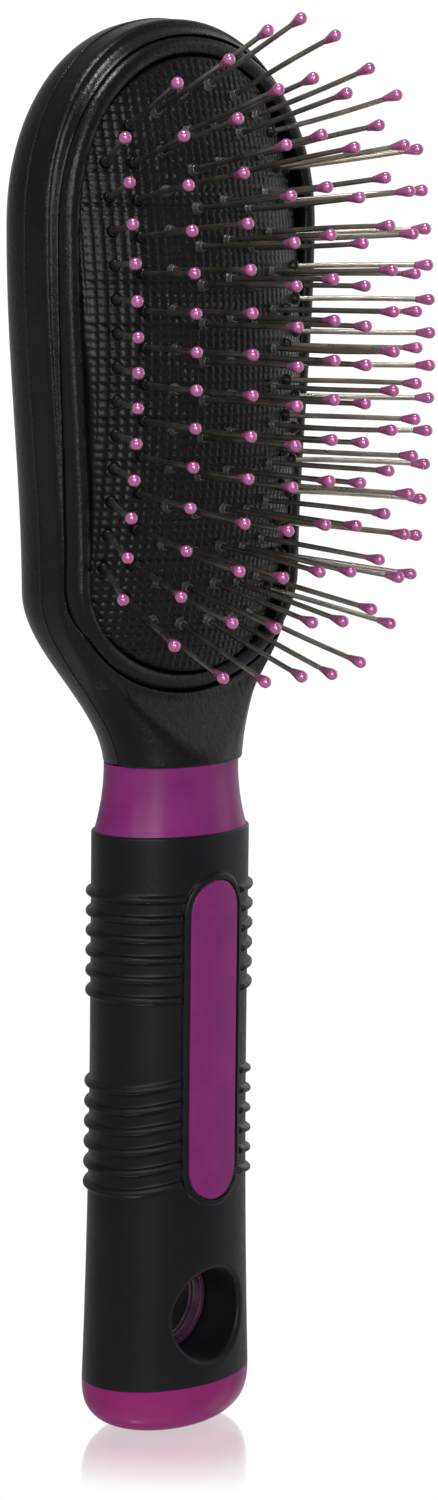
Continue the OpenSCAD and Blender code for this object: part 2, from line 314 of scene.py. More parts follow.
class Solid:
    """Collects points in mm and faces, and becomes one piece."""

    def __init__(self):
        self.points, self.faces = [], []

    def add_rows(self, rows, ring=True, loop=False, caps=False):
        """Quads between rows of points. ring closes each row, loop joins the last row to the
        first, and caps closes the first and last rows with a face each."""
        start, count = len(self.points), len(rows[0])
        self.points += [p for row in rows for p in row]
        for i in range(len(rows) if loop else len(rows) - 1):
            here, there = start + i * count, start + (i + 1) % len(rows) * count
            for j in range(count if ring else count - 1):
                k = (j + 1) % count
                self.faces.append((here + j, here + k, there + k, there + j))
        if caps:
            self.faces.append(tuple(range(start + count - 1, start - 1, -1)))
            last = start + (len(rows) - 1) * count
            self.faces.append(tuple(range(last, last + count)))

    def piece(self, name, body, material, nodes=(), sharp=50):
        """The finished mesh as a piece that rides on a body and stands for CAD nodes."""
        mesh = bpy.data.meshes.new(name)
        points = [(x * MM, y * MM, (z - HOLE_Z) * MM) for x, y, z in self.points]
        mesh.from_pydata(points, [], self.faces)
        work = bmesh.new()
        work.from_mesh(mesh)
        bmesh.ops.remove_doubles(work, verts=work.verts, dist=WELD)
        bmesh.ops.dissolve_degenerate(work, edges=work.edges, dist=SLIVER)
        bmesh.ops.recalc_face_normals(work, faces=work.faces)
        work.to_mesh(mesh)
        work.free()
        mesh.shade_smooth()
        mesh.set_sharp_from_angle(angle=math.radians(sharp))
        mesh.materials.append(material)
        piece = bpy.data.objects.new(name, mesh)
        bpy.context.scene.collection.objects.link(piece)
        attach(piece, body)
        if nodes:
            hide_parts(*nodes)
        return piece


def lathe(base, axis, profile, sides):
    """Rows of a turned shape: profile holds (distance along the axis, radius)."""
    axis = Vector(axis).normalized()
    across = axis.orthogonal().normalized()
    up = axis.cross(across)
    rows = []
    for along, r in profile:
        middle = Vector(base) + axis * along
        row = [middle + (across * math.cos(t) + up * math.sin(t)) * r for t in turns(sides)]
        rows.append([tuple(point) for point in row])
    return rows


# Materials: colour changes over wide CLOUDS and roughness over SMEARS, in features per millimetre
CLOUDS, SMEARS = 0.16, 0.6
FINE_DETAIL, GRAIN_ROUGH = 4, 0.6


def noise(tree, per_mm, detail=3, rough=0.55):
    """A noise texture in object space, with per_mm as its scale in features per millimetre."""
    nodes, links = tree.nodes, tree.links
    place = nodes.new("ShaderNodeTexCoord")
    scale = nodes.new("ShaderNodeMapping")
    scale.inputs["Scale"].default_value = [per_mm / MM] * 3
    texture = nodes.new("ShaderNodeTexNoise")
    texture.inputs["Scale"].default_value = 1
    texture.inputs["Detail"].default_value = detail
    texture.inputs["Roughness"].default_value = rough
    links.new(place.outputs["Object"], scale.inputs["Vector"])
    links.new(scale.outputs["Vector"], texture.inputs["Vector"])
    return texture.outputs["Fac"]


def spread(tree, value, low, high, start=0.3, end=0.7, blend="LINEAR"):
    """Maps start..end of a value to low..high."""
    node = tree.nodes.new("ShaderNodeMapRange")
    node.interpolation_type = blend
    node.inputs["From Min"].default_value = start
    node.inputs["From Max"].default_value = end
    node.inputs["To Min"].default_value = low
    node.inputs["To Max"].default_value = high
    tree.links.new(value, node.inputs["Value"])
    return node.outputs["Result"]


def tint(tree, value, low, high, start=0.3, end=0.7):
    """Maps start..end of a value to two colours."""
    ramp = tree.nodes.new("ShaderNodeValToRGB")
    ramp.color_ramp.elements[0].position, ramp.color_ramp.elements[1].position = start, end
    ramp.color_ramp.elements[0].color = (*low, 1)
    ramp.color_ramp.elements[1].color = (*high, 1)
    tree.links.new(value, ramp.inputs["Fac"])
    return ramp.outputs["Color"]


def bump(tree, height, strength, depth, before=None):
    """A normal bumped by a height whose full depth is in mm, on top of the normal before it."""
    node = tree.nodes.new("ShaderNodeBump")
    node.inputs["Strength"].default_value = strength
    node.inputs["Distance"].default_value = depth * MM
    tree.links.new(height, node.inputs["Height"])
    if before is not None:
        tree.links.new(before, node.inputs["Normal"])
    return node.outputs["Normal"]


def surface(name, slot, colour, rough, grain, constants):
    """A principled material. colour and rough are (low, high) pairs spread by noise, grain is a
    list of (features per mm, strength, depth in mm) bumps, and constants set other sockets."""
    material = bpy.data.materials.new(name)
    material.use_nodes = True
    material["slot"] = slot
    tree = material.node_tree
    shader = next(n for n in tree.nodes if n.type == "BSDF_PRINCIPLED")
    tree.links.new(tint(tree, noise(tree, CLOUDS), *colour), shader.inputs["Base Color"])
    tree.links.new(spread(tree, noise(tree, SMEARS, FINE_DETAIL), *rough), shader.inputs["Roughness"])
    normal = None
    for per_mm, strength, depth in grain:
        height = noise(tree, per_mm, FINE_DETAIL, GRAIN_ROUGH)
        normal = bump(tree, height, strength, depth, normal)
    tree.links.new(normal, shader.inputs["Normal"])
    for socket, value in constants.items():
        shader.inputs[socket].default_value = value
    return material


MOULDED = [(0.25, 0.10, 0.10), (3.0, 0.12, 0.02)]
HEAD_PLASTIC = surface(
    "head_plastic", "head_plastic",
    ((0.0026, 0.0026, 0.0040), (0.0046, 0.0046, 0.0064)), (0.22, 0.32),
    [(1.1, 0.65, 0.14), (2.8, 0.6, 0.06)],
    {"Specular IOR Level": 0.26})
PAD_RUBBER = surface(
    "cushion_rubber", "cushion_rubber",
    ((0.0028, 0.0028, 0.0028), (0.0060, 0.0058, 0.0056)), (0.24, 0.36),
    [(4.0, 0.5, 0.04)],
    {"Specular IOR Level": 0.22})
GRIP_RUBBER = surface(
    "grip_rubber", "grip_rubber",
    ((0.0044, 0.0041, 0.0066), (0.0060, 0.0056, 0.0086)), (0.34, 0.46),
    [(0.5, 0.12, 0.08), (2.2, 0.5, 0.05), (6.0, 0.35, 0.02)],
    {"Specular IOR Level": 0.2, "Sheen Weight": 0.02, "Sheen Roughness": 0.4})
MAGENTA = surface(
    "magenta_plastic", "magenta_plastic",
    ((0.192, 0.016, 0.130), (0.232, 0.023, 0.156)), (0.30, 0.42),
    MOULDED,
    {"Specular IOR Level": 0.2})
# The same magenta plastic made much darker for the ring deep inside the hanging hole: painted shade for
# the hole's depth
HOLE_SHADE_MAGENTA = surface(
    "hole_ring_painted_shade", "magenta_plastic",
    ((0.050, 0.010, 0.040), (0.075, 0.014, 0.058)), (0.22, 0.32),
    MOULDED,
    {"Specular IOR Level": 0.5})
CAP_MAGENTA = surface(
    "cap_magenta", "magenta_plastic",
    ((0.212, 0.012, 0.112), (0.252, 0.017, 0.131)), (0.30, 0.42),
    MOULDED,
    {"Specular IOR Level": 0.14})
PIN_STEEL = surface(
    "pin_steel", "pin_steel",
    ((0.25, 0.22, 0.185), (0.46, 0.42, 0.37)), (0.26, 0.38),
    [(1.2, 0.2, 0.02)],
    {"Metallic": 1.0})
TIP_ENAMEL = surface(
    "tip_enamel", "tip_enamel",
    ((0.50, 0.12, 0.32), (0.60, 0.17, 0.40)), (0.2, 0.3),
    [(1.2, 0.12, 0.05)],
    {"Metallic": 0.55, "Coat Weight": 1.0, "Coat Roughness": 0.14, "Specular IOR Level": 0.5})
# A lighter grey copy of the cushion rubber for the inner columns' seats: a painted highlight on their
# tops
SEAT_HIGHLIGHT_RUBBER = surface(
    "seat_rubber_painted_highlight", "cushion_rubber",
    ((0.02, 0.02, 0.02), (0.07, 0.07, 0.068)), (0.25, 0.4),
    [(4.0, 0.3, 0.03)],
    {"Specular IOR Level": 0.6})


# Head: the parting line's bead as (how far out, depth from the line), and the groove between the
# frame and the ring as (inset, depth from the frame's front)
SEAM_FRONT = [(0, -0.25), (0.02, -0.06)]
SEAM_BACK = [(0.1, 0.02), (SEAM_BEAD, 0.12), (0.14, 0.28), (0, 0.5)]
SEAM_MIDDLE = 0.03
GROOVE = [(0, 0.7), (-0.04, 0.14), (-0.14, -0.06), (-0.3, -0.16), (-0.5, -0.1), (-0.66, 0)]
BACK_STEPS, BACK_CROWDING, BACK_FOOT = 30, 3, 11
FRONT_STEPS, FRONT_CROWDING = 34, 3.2


def seam_rows(profile, height):
    """Rows along the parting line, which along the lower edge keep to the plain height."""
    rows = []
    for out, dy in profile:
        row = []
        for station in STATIONS:
            x, z = outline_xz(station, out)
            y = height(x, z) if on_lower_edge(station) else parting_y(z) + dy
            row.append((x, y, z))
        rows.append(row)
    return rows


def parting_row():
    """Row where the head's halves meet."""
    places = [outline_xz(station, SEAM_MIDDLE) for station in STATIONS]
    return [(x, parting_y(z), z) for x, z in places]


def opening_row(d, y):
    """Row round the opening at inset d. y is a depth or a function of the place."""
    places = [opening_xz(station, d) for station in STATIONS]
    return [(x, y(x, z) if callable(y) else y, z) for x, z in places]


def crowd(i, count, power):
    """Share i of count steps from 0 to 1, crowded towards 1."""
    return 1 - (1 - i / count) ** power


def centre_xz(station):
    """Where the rows of the back shell start from, on the middle line."""
    return 0, min(CROWN_Z, max(NECK_Z + BACK_FOOT, outline_xz(station)[1]))


def between_rows(starts, ends, share, height):
    """One row at a share of the way from the starts to the ends, lying on a height."""
    row = []
    for (x0, z0), (x1, z1) in zip(starts, ends):
        x, z = mix(x0, x1, share), mix(z0, z1, share)
        row.append((x, height(x, z), z))
    return row


def make_back_shell():
    """Crowned outside, the parting line's bead, and the air chamber."""
    centre = [centre_xz(station) for station in STATIONS]
    outline = [outline_xz(station) for station in STATIONS]
    rows = []
    for i in range(BACK_STEPS):
        rows.append(between_rows(centre, outline, crowd(i, BACK_STEPS, BACK_CROWDING), back_y))
    rows += seam_rows(SEAM_BACK[::-1], back_y)
    rows.append(parting_row())
    rows.append(opening_row(CHAMBER_INSET, lambda x, z: parting_y(z)))
    rows.append(opening_row(CHAMBER_INSET, CHAMBER_FLOOR - CHAMBER_BEVEL))
    rows.append(opening_row(CHAMBER_INSET + CHAMBER_BEVEL, CHAMBER_FLOOR))
    floor = [opening_xz(station, CHAMBER_INSET) for station in STATIONS]
    rows.append([(0, CHAMBER_FLOOR, min(CROWN_Z, max(OPEN_LOW_Z, z))) for x, z in floor])
    solid = Solid()
    solid.add_rows(rows)
    return solid.piece("head_back", "brush", HEAD_PLASTIC, ["back_shell"])


def make_front_frame():
    """The ledge for the cushion, the groove at the ring, and the front out to the parting line."""
    rows = [
        opening_row(LEDGE_W, lambda x, z: parting_y(z)),
        opening_row(LEDGE_W, LEDGE_Y),
        opening_row(0, LEDGE_Y),
    ]
    for d, dy in GROOVE:
        rows.append(opening_row(d, lambda x, z, dy=dy: front_y(x, z) + dy))
    inner = [opening_xz(station, GROOVE[-1][0]) for station in STATIONS]
    outline = [outline_xz(station) for station in STATIONS]
    for i in range(1, FRONT_STEPS + 1):
        rows.append(between_rows(inner, outline, crowd(i, FRONT_STEPS, FRONT_CROWDING), front_y))
    rows += seam_rows(SEAM_FRONT, front_y)
    rows.append(parting_row())
    solid = Solid()
    solid.add_rows(rows, loop=True)
    return solid.piece("head_front", "brush", HEAD_PLASTIC, ["front_frame"])


def make_ring():
    """The raised bead round the cushion: its profile is (inset in the opening, depth)."""
    crest, foot = -RING_CREST, FLANGE_Y - 0.05
    profile = [
        (RING_W, foot), (RING_W, crest + 1.1), (RING_W - 0.06, crest + 0.62),
        (RING_W - 0.22, crest + 0.34), (RING_W - 0.5, crest + 0.16), (2.2, crest + 0.03), (1.7, crest),
        (1.2, crest + 0.1), (0.8, crest + 0.3), (0.45, crest + 0.66), (0.2, crest + 1.15),
        (0.08, crest + 1.8), (0.05, foot),
    ]
    solid = Solid()
    solid.add_rows([opening_row(d, y) for d, y in profile], loop=True)
    return solid.piece("cushion_ring_bead", "brush", HEAD_PLASTIC, ["cushion_ring"], sharp=70)


# Cushion
PAD_LEVELS, PAD_ACROSS, PAD_CROWDING = 400, 204, 0.25


def pad_half(z):
    """Half-width of the pad at height z."""
    if z > CROWN_Z:
        return (OPEN_W / 2 - PAD_INSET) * rest((z - CROWN_Z) / (OPEN_TOP_H - PAD_INSET), CROWN_N)
    if z < OPEN_LOW_Z:
        reach = (OPEN_LOW_Z - z) / (OPEN_LOW_H - PAD_INSET)
        return (OPEN_LOW_W / 2 - PAD_INSET) * rest(reach, OPEN_LOW_N)
    return mix(OPEN_W, OPEN_LOW_W, swing((CROWN_Z - z) / (CROWN_Z - OPEN_LOW_Z))) / 2 - PAD_INSET


def pad_gap(x, z):
    """Rough distance in from the pad's edge."""
    if z > CROWN_Z:
        a, h, n, up = OPEN_W / 2 - PAD_INSET, OPEN_TOP_H - PAD_INSET, CROWN_N, z - CROWN_Z
    elif z < OPEN_LOW_Z:
        a, h, n, up = OPEN_LOW_W / 2 - PAD_INSET, OPEN_LOW_H - PAD_INSET, OPEN_LOW_N, OPEN_LOW_Z - z
    else:
        return pad_half(z) - abs(x)
    ratio = ((abs(x) / a) ** n + (up / h) ** n) ** (1 / n)
    return (1 - ratio) * mix(a, h, min(1, up / h))


def cell_relief(x, z):
    """Moulded scales: a pillow in each cell, rounder at its top."""
    u = 2 * (x / CELL_X - round(x / CELL_X))
    v = 2 * (z / CELL_Z - round(z / CELL_Z))
    across = abs(u) ** CELL_SQUARE
    along = abs(v) ** (CELL_ROUND if v > 0 else CELL_SQUARE)
    return CELL_H * max(0, 1 - across - along) ** CELL_FULLNESS


def pad_y(x, z):
    """Depth of the cushion's face, with its rounded edge and moulded scales."""
    gap = max(0, pad_gap(x, z))
    t = 1 - min(1, gap / PAD_EDGE_R)
    sink = PAD_EDGE_R * (1 - math.sqrt(max(0, 1 - t * t)))
    return dome_y(x, z) + sink - cell_relief(x, z) * ease(gap / CELL_FADE) + CELL_H / 2


def make_cushion():
    """The domed pad, its side wall and its flat underside."""
    top, low = CROWN_Z + OPEN_TOP_H - PAD_INSET, OPEN_LOW_Z - OPEN_LOW_H + PAD_INSET
    rows = []
    for i in range(PAD_LEVELS + 1):
        share = i / PAD_LEVELS
        z = mix(top, low, mix(share, swing(share), PAD_CROWDING))
        half = pad_half(z)
        xs = [half * mix(-1, 1, j / PAD_ACROSS) for j in range(PAD_ACROSS + 1)]
        rows.append([(x, pad_y(x, z), z) for x in xs])
    solid = Solid()
    solid.add_rows(rows, ring=False)
    edge = [row[0] for row in rows] + [row[-1] for row in rows[-2:0:-1]]
    solid.add_rows([edge, [(x, FLANGE_Y, z) for x, y, z in edge]])
    solid.faces.append(tuple(range(len(solid.points) - len(edge), len(solid.points))))
    cushion = solid.piece("air_cushion", "brush", PAD_RUBBER, ["rubber_cushion"])
    return cushion


# Pins: turned profiles of (distance along the pin, radius). A foot and a seat are measured from the
# cushion's face and a tip from its own centre. The outer columns' seats are rounder.
FOOT_TOP = -PAD_T - FOOT_GAP
FOOT_END = FOOT_TOP - FOOT_T
FOOT = [(FOOT_TOP, PIN_R), (FOOT_TOP - 0.05, FOOT_R - 0.15), (FOOT_TOP - 0.15, FOOT_R),
        (FOOT_END + 0.15, FOOT_R), (FOOT_END, FOOT_R - 0.15), (FOOT_END, 0.05)]
TIP = [(-2.3, 0.45), (-2.2, 0.54), (-1.85, 0.6), (-1.45, 0.69), (-1.05, 0.8), (-0.65, 0.9),
       (-0.3, 0.975), (0.05, BALL_R), (0.38, 0.94), (0.64, 0.77), (0.84, 0.54), (0.96, 0.3),
       (BALL_R, 0.04)]
OUTER_SEAT = [(0.25, 0.5), (0.98, 0.5), (1.05, 0.56), (1.02, 0.68), (0.88, 0.82), (0.66, 0.93),
              (0.4, 1.0), (0.1, 1.06), (-0.25, 1.1)]
INNER_SEAT = [(0.25, 0.5), (0.85, 0.5), (0.96, 0.55), (1.0, 0.64), (0.95, 0.74), (0.75, 0.8),
              (0.4, 0.86), (0.2, 0.95), (0.0, 1.08), (-0.25, 1.15)]

WIRE_STEPS, WIRE_SIDES, FOOT_SIDES, TURNED_SIDES = 12, 12, 20, 24
WIRE_THINNEST, WIRE_IN_TIP, TIP_SMALLEST = 0.93, 0.5, 0.94
OUTER_TIER, FIRST_SEED = 3, 100


def pin_place(k, j):
    """Base point and direction of pin j in column k. Pins lean out more towards the cushion's
    sides and its ends."""
    tier = abs(k - MIDDLE_COLUMN)
    side = (k > MIDDLE_COLUMN) - (k < MIDDLE_COLUMN)
    x = side * COL_X[tier]
    z = COL_MID_Z[tier] - COL_PITCH[tier] * (j - (COL_COUNT[tier] - 1) / 2)
    across, along = x / LEAN_UNIT, (z - DOME_Z) / LEAN_UNIT
    out = LEAN_OUT * across + LEAN_OUT_MORE * across ** 3
    lean = Vector((out, -1, LEAN_ALONG * along ** 3))
    return Vector((x, dome_y(x, z), z)), lean.normalized()


def wire_rows(base, direction, draw):
    """A wire from its foot to inside its tip, drawn slightly bowed."""
    side = direction.orthogonal().normalized()
    side = Matrix.Rotation(draw.uniform(0, 2 * math.pi), 3, direction) @ side
    amount = draw.uniform(BOW_LEAST, BOW_MOST)
    rows = []
    for i in range(WIRE_STEPS + 1):
        t = i / WIRE_STEPS
        along = mix(FOOT_TOP, PIN_L - WIRE_IN_TIP, t)
        shift = side * amount * math.sin(math.pi * max(0, along / PIN_L))
        r = PIN_R * mix(1, WIRE_THINNEST, t) * draw.uniform(1 - WIRE_UNEVEN, 1 + WIRE_UNEVEN)
        rows += lathe(base + shift, direction, [(along, r)], WIRE_SIDES)
    return rows


def make_pins(k):
    """Column k: its wires with their feet, its ball tips and its rubber seats."""
    draw = random.Random(FIRST_SEED + k)
    tier = abs(k - MIDDLE_COLUMN)
    outer = tier >= OUTER_TIER
    seat = OUTER_SEAT if outer else INNER_SEAT
    wires, tips, seats = Solid(), Solid(), Solid()
    for j in range(COL_COUNT[tier]):
        base, direction = pin_place(k, j)
        wires.add_rows(wire_rows(base, direction, draw), caps=True)
        wires.add_rows(lathe(base, direction, FOOT, FOOT_SIDES), caps=True)
        size = draw.uniform(TIP_SMALLEST, 1.0)
        tip = [(along, r * size) for along, r in TIP]
        tips.add_rows(lathe(base + direction * PIN_L, direction, tip, TURNED_SIDES), caps=True)
        seats.add_rows(lathe(base, direction, seat, TURNED_SIDES), loop=True)
    wires.piece(f"wires_{k}", f"pins_{k}", PIN_STEEL, [f"pin_wires_{k}"])
    tips.piece(f"tips_{k}", f"pins_{k}", TIP_ENAMEL, [f"ball_tips_{k}"], sharp=70)
    # Inner seats take the lighter grey copy of the cushion rubber, a painted highlight; outer seats keep
    # the cushion rubber itself
    rubber = PAD_RUBBER if outer else SEAT_HIGHLIGHT_RUBBER
    seats.piece(f"collars_{k}", f"seats_{k}", rubber, [f"pin_seats_{k}"], sharp=70)


# Handle
def grip_a(z):
    """Half-width of the grip, which swells below its waist."""
    return GRIP_A + (BUTT_SWELL * ((WAIST_Z - z) / SWELL_REACH) ** 2 if z < WAIST_Z else 0)


def grip_depth(x, z):
    """How far the plain grip stands out in front of the handle's axis plane, and behind it."""
    return FLATNESS * math.sqrt(grip_a(z) ** 2 - x * x)


def oval_row(a, z):
    """Row round a flattened round section of half-width a."""
    return [(a * math.cos(t), a * FLATNESS * math.sin(t), z) for t in turns(OVAL_SIDES)]


def panel_gap(x, z):
    """Distance out from the edge of the panel's stadium, negative inside it."""
    middle = min(PANEL_HIGH - PANEL_R, max(PANEL_LOW + PANEL_R, z))
    return math.hypot(x, z - middle) - PANEL_R


def rib_height(z, ribs):
    """Height at z of a set of ribs, given as (first rib, pitch, count), with their fillets."""
    first, pitch, count = ribs
    i = min(count - 1, max(0, round((z - first) / pitch)))
    away = abs(z - first - i * pitch)
    fillet = FILLET_H * (1 - ease((away - RIB_HALF + FILLET_IN) / FILLET_W))
    return max(RIB_H * rest(away / RIB_HALF, RIB_N), fillet)


def grip_raise(x, y, z):
    """How far the grip's surface stands out at a place: ribs, panel rim and panel recess. The
    lower ribs rise towards the front."""
    forward = max(0, -y / (GRIP_A * FLATNESS))
    gap = panel_gap(x, z) if y < 0 else math.inf
    ribs = max(rib_height(z, UPPER_RIBS), rib_height(z - RIB_RISE * forward ** 3, LOWER_RIBS))
    if gap > RIM_W:
        return ribs * ease((gap - RIM_W - RIB_FADE_GAP) / RIB_FADE_W)
    if gap > 0:
        return RIM_H * rest(max(0, gap - RIM_FLAT) / (RIM_W - RIM_FLAT), 2)
    return mix(RIM_H, -RECESS, min(1, -gap / RECESS_WALL))


def lines(spans):
    """Values along spans of (start, end, step)."""
    found = []
    for start, end, step in spans:
        count = max(1, round((end - start) / step))
        found += [mix(start, end, i / count) for i in range(count)]
    return found + [spans[-1][1]]


# How closely the grip's mesh is spaced, as (from, to, step) across its front, its back and up it
COARSE, FINE = 0.4, 0.13
FRONT_SPANS = [(-11, -7.2, COARSE), (-7.2, -5, FINE), (-5, 5, COARSE), (5, 7.2, FINE), (7.2, 11, COARSE)]
BACK_SPANS = [(-9.6, 9.6, COARSE)]
FLANK_STEP = 0.045
LEVEL_SPANS = [
    (GRIP_LOW, 11, 0.8), (11, 31, COARSE), (31, 39.6, 1.0), (39.6, 64.6, 0.125), (64.6, 75, 1.0),
    (75, 98, 0.125), (98, GRIP_TOP - GRIP_ROUND, 0.8), (GRIP_TOP - GRIP_ROUND, GRIP_TOP, 0.09)]
BEVEL_STEPS = 9
CLOSE_LOW, CLOSE_TOP = GRIP_A - 3, NECK_CORE_A - 1


def grip_angles():
    """Angles round the grip, closer together along the panel's edges."""
    front = [math.asin(x / GRIP_A) for x in lines(FRONT_SPANS)]
    back = [math.asin(x / GRIP_A) for x in lines(BACK_SPANS)]
    flank = lines([(front[-1], math.pi - back[-1], FLANK_STEP)])[1:-1]
    behind = [math.pi - a for a in reversed(back)]
    return front + flank + behind + [2 * math.pi - a for a in reversed(flank)]


def grip_points(angles, levels):
    """Points of the grip's outside, level by level."""
    points = []
    for z in levels:
        t = max(0, 1 - (GRIP_TOP - z) / GRIP_ROUND)
        a = grip_a(z) - GRIP_ROUND * (1 - math.sqrt(max(0, 1 - t * t)))
        for angle in angles:
            x, y = a * math.sin(angle), -a * FLATNESS * math.cos(angle)
            out = Vector((x * FLATNESS ** 2, y, 0)).normalized()
            raised = grip_raise(x, y, z)
            points.append((x + out.x * raised, y + out.y * raised, z))
    return points


def cut_hole(solid):
    """Takes the faces inside the hanging hole's rim out of the grip, and moves the points that
    edge the gap onto the rim. Returns those points' indices."""
    inside = set()
    for index, (x, y, z) in enumerate(solid.points):
        if math.hypot(x, z - HOLE_Z) < HOLE_RIM_R:
            inside.add(index)
    solid.faces = [face for face in solid.faces if not inside.issuperset(face)]
    rim = {index for face in solid.faces for index in face if index in inside}
    for index in rim:
        x, y, z = solid.points[index]
        stretch = HOLE_RIM_R / max(1e-6, math.hypot(x, z - HOLE_Z))
        x, z = x * stretch, HOLE_Z + (z - HOLE_Z) * stretch
        solid.points[index] = (x, math.copysign(grip_depth(x, z), y), z)
    return rim


def rim_chains(solid, rim):
    """The next rim point after each one, along edges that have a face on one side only."""
    edges = {}
    for face in solid.faces:
        for a, b in zip(face, face[1:] + face[:1]):
            if (b, a) in edges:
                del edges[(b, a)]
            else:
                edges[(a, b)] = True
    return {a: b for a, b in edges if a in rim and b in rim}


def hole_wall_rows(rim_points, sign, ring_y):
    """Rows from the rim over the rounded bevel and in to the magenta ring."""
    rows = []
    for step in range(BEVEL_STEPS + 1):
        t = math.radians(90 * step / BEVEL_STEPS)
        r = HOLE_RIM_R - HOLE_BEVEL * math.sin(t)
        sink = HOLE_BEVEL * (1 - math.cos(t))
        row = []
        for rim_x, _, rim_z in rim_points:
            x, z = rim_x / HOLE_RIM_R * r, HOLE_Z + (rim_z - HOLE_Z) / HOLE_RIM_R * r
            row.append((x, sign * (grip_depth(x, z) - sink), z))
        rows.append(row)
    return rows + [[(x, ring_y, z) for x, y, z in rows[-1]]]


def make_grip():
    """The rubber sleeve: ribs, panel rim and recess, the hanging hole, and its open ends, which
    close on the core."""
    angles, levels = grip_angles(), lines(LEVEL_SPANS)
    count = len(angles)
    points = grip_points(angles, levels)
    solid = Solid()
    solid.add_rows([points[i * count:(i + 1) * count] for i in range(len(levels))])
    rim = cut_hole(solid)
    chains = rim_chains(solid, rim)
    for sign, ring_y in zip((-1, 1), HOLE_RING_Y):
        start = next(index for index in chains if solid.points[index][1] * sign > 0)
        loop = [start]
        while chains[loop[-1]] != start:
            loop.append(chains[loop[-1]])
        solid.add_rows(hole_wall_rows([solid.points[index] for index in loop], sign, ring_y))
    for level, a in ((0, CLOSE_LOW), (len(levels) - 1, CLOSE_TOP)):
        z = levels[level]
        inner = [(a * math.sin(angle), -a * FLATNESS * math.cos(angle), z) for angle in angles]
        solid.add_rows([solid.points[level * count:(level + 1) * count], inner])
    return solid.piece("grip_sleeve", "brush", GRIP_RUBBER, ["rubber_grip"], sharp=60)


def make_neck():
    """The core's flare between the head and the grip."""
    steps = 28
    rows = []
    for i in range(steps + 1):
        z = mix(GRIP_TOP - NECK_BURIED, NECK_Z + 0.02, i / steps)
        down = (NECK_Z - min(NECK_Z, z)) / (NECK_Z - GRIP_TOP)
        a = min(NECK_CORE_A + NECK_FLARE * down ** FLARE_POWER, GRIP_A - GRIP_ROUND)
        rows.append(oval_row(a, z))
    solid = Solid()
    solid.add_rows(rows, caps=True)
    return solid.piece("handle_core_magenta", "brush", MAGENTA, ["handle_core"])


def make_hole_ring():
    """The core's ring inside the hanging hole, with faint ridges towards its back."""
    y0, y1 = HOLE_RING_Y
    steps, ridge_every, ridge_h = 24, 8, 0.07
    edge_in, edge, buried = 0.12, 0.15, HOLE_R + 1.2
    profile = [(y0, buried), (y0, HOLE_RING_R + edge)]
    for i in range(steps + 1):
        wave = 0.5 + 0.5 * math.cos(2 * math.pi * i / ridge_every)
        ridge = ridge_h * wave * ease(i / ridge_every - 1)
        profile.append((mix(y0 + edge_in, y1 - edge_in, i / steps), HOLE_RING_R + ridge))
    profile += [(y1, HOLE_RING_R + edge), (y1, buried)]
    solid = Solid()
    solid.add_rows(lathe((0, 0, HOLE_Z), (0, 1, 0), profile, 96), loop=True)
    # The ring's darker magenta is painted shade inside the hole
    return solid.piece("hole_ring", "brush", HOLE_SHADE_MAGENTA)


def panel_loop():
    """Round the panel from its lower right: (cosine, sine, height of that end's centre)."""
    low, high = PANEL_LOW + PANEL_R, PANEL_HIGH - PANEL_R
    heights = lines([(low, high, 1.5)])
    ends = [(math.cos(t), math.sin(t)) for t in turns(120)]
    top = [(c, s, high) for c, s in ends if s > 1e-6]
    bottom = [(c, s, low) for c, s in ends if s < -1e-6]
    return [(1, 0, z) for z in heights] + top + [(-1, 0, z) for z in reversed(heights)] + bottom


def make_inlay():
    """The panel let into the grip: crowned with the grip and rounded at its edge."""
    r = PANEL_R - PANEL_GAP
    profile = [(share, 0) for share in (0, 0.3, 0.6, 0.8, 1 - PANEL_EDGE / r)]
    for i in range(1, 7):
        t = math.radians(15 * i)
        profile.append((1 - PANEL_EDGE / r * (1 - math.sin(t)), PANEL_EDGE * (1 - math.cos(t))))
    profile.append((1, PANEL_T))
    loop = panel_loop()
    rows = []
    for share, sink in profile:
        row = []
        for c, s, middle in loop:
            x, z = c * r * share, middle + s * r * share
            row.append((x, -grip_depth(x, z) - RIM_H * PANEL_RAISE + sink, z))
        rows.append(row)
    rows.append([(0, rows[-1][0][1], middle) for c, s, middle in loop])
    solid = Solid()
    solid.add_rows(rows)
    return solid.piece("handle_panel", "brush", MAGENTA, ["panel_inlay"])


def make_cap():
    """The rounded end cap, closed just inside the grip."""
    steps, lid_rise, lid_share = 36, 0.06, 0.992
    rows = []
    for i in range(steps + 1):
        t = math.radians(90 * i / steps)
        share = bow(math.sin(t), CAP_N)
        rows.append(oval_row(grip_a(GRIP_LOW) * share, GRIP_LOW * (1 - bow(math.cos(t), CAP_N))))
    lid = GRIP_LOW + lid_rise
    rows.append([(x * lid_share, y * lid_share, lid) for x, y, z in rows[-1]])
    rows.append([(0, 0, lid)] * OVAL_SIDES)
    solid = Solid()
    solid.add_rows(rows)
    return solid.piece("butt_cap", "brush", CAP_MAGENTA, ["end_cap"])


# Stage, in metres and radians: the camera's place round the brush and the studio's levels
TURN, TILT, ROLL = -0.8, 0.144, 0.012
DISTANCE, AIM_HEIGHT, AIM_ASIDE = 0.59646, 0.09598, 0.008016
LENS_MM, SENSOR_MM = 85, 36
LIGHTS_AIM = Vector((0, 0, 0.1))
SHOWN_WHITE, FLOOR_WHITE = 1.05, 1.03
AMBIENT, BACKDROP = 0.24, 0.53
BACKDROP_START, BACKDROP_FULL = 0.75, 0.9
MIRROR, MIRROR_ROUGH, FLOOR_FELT = 0.94, 0.09, 0.45
PATCH_START, PATCH_END = 0.016, 0.042
FLOOR_HALF = 2.5


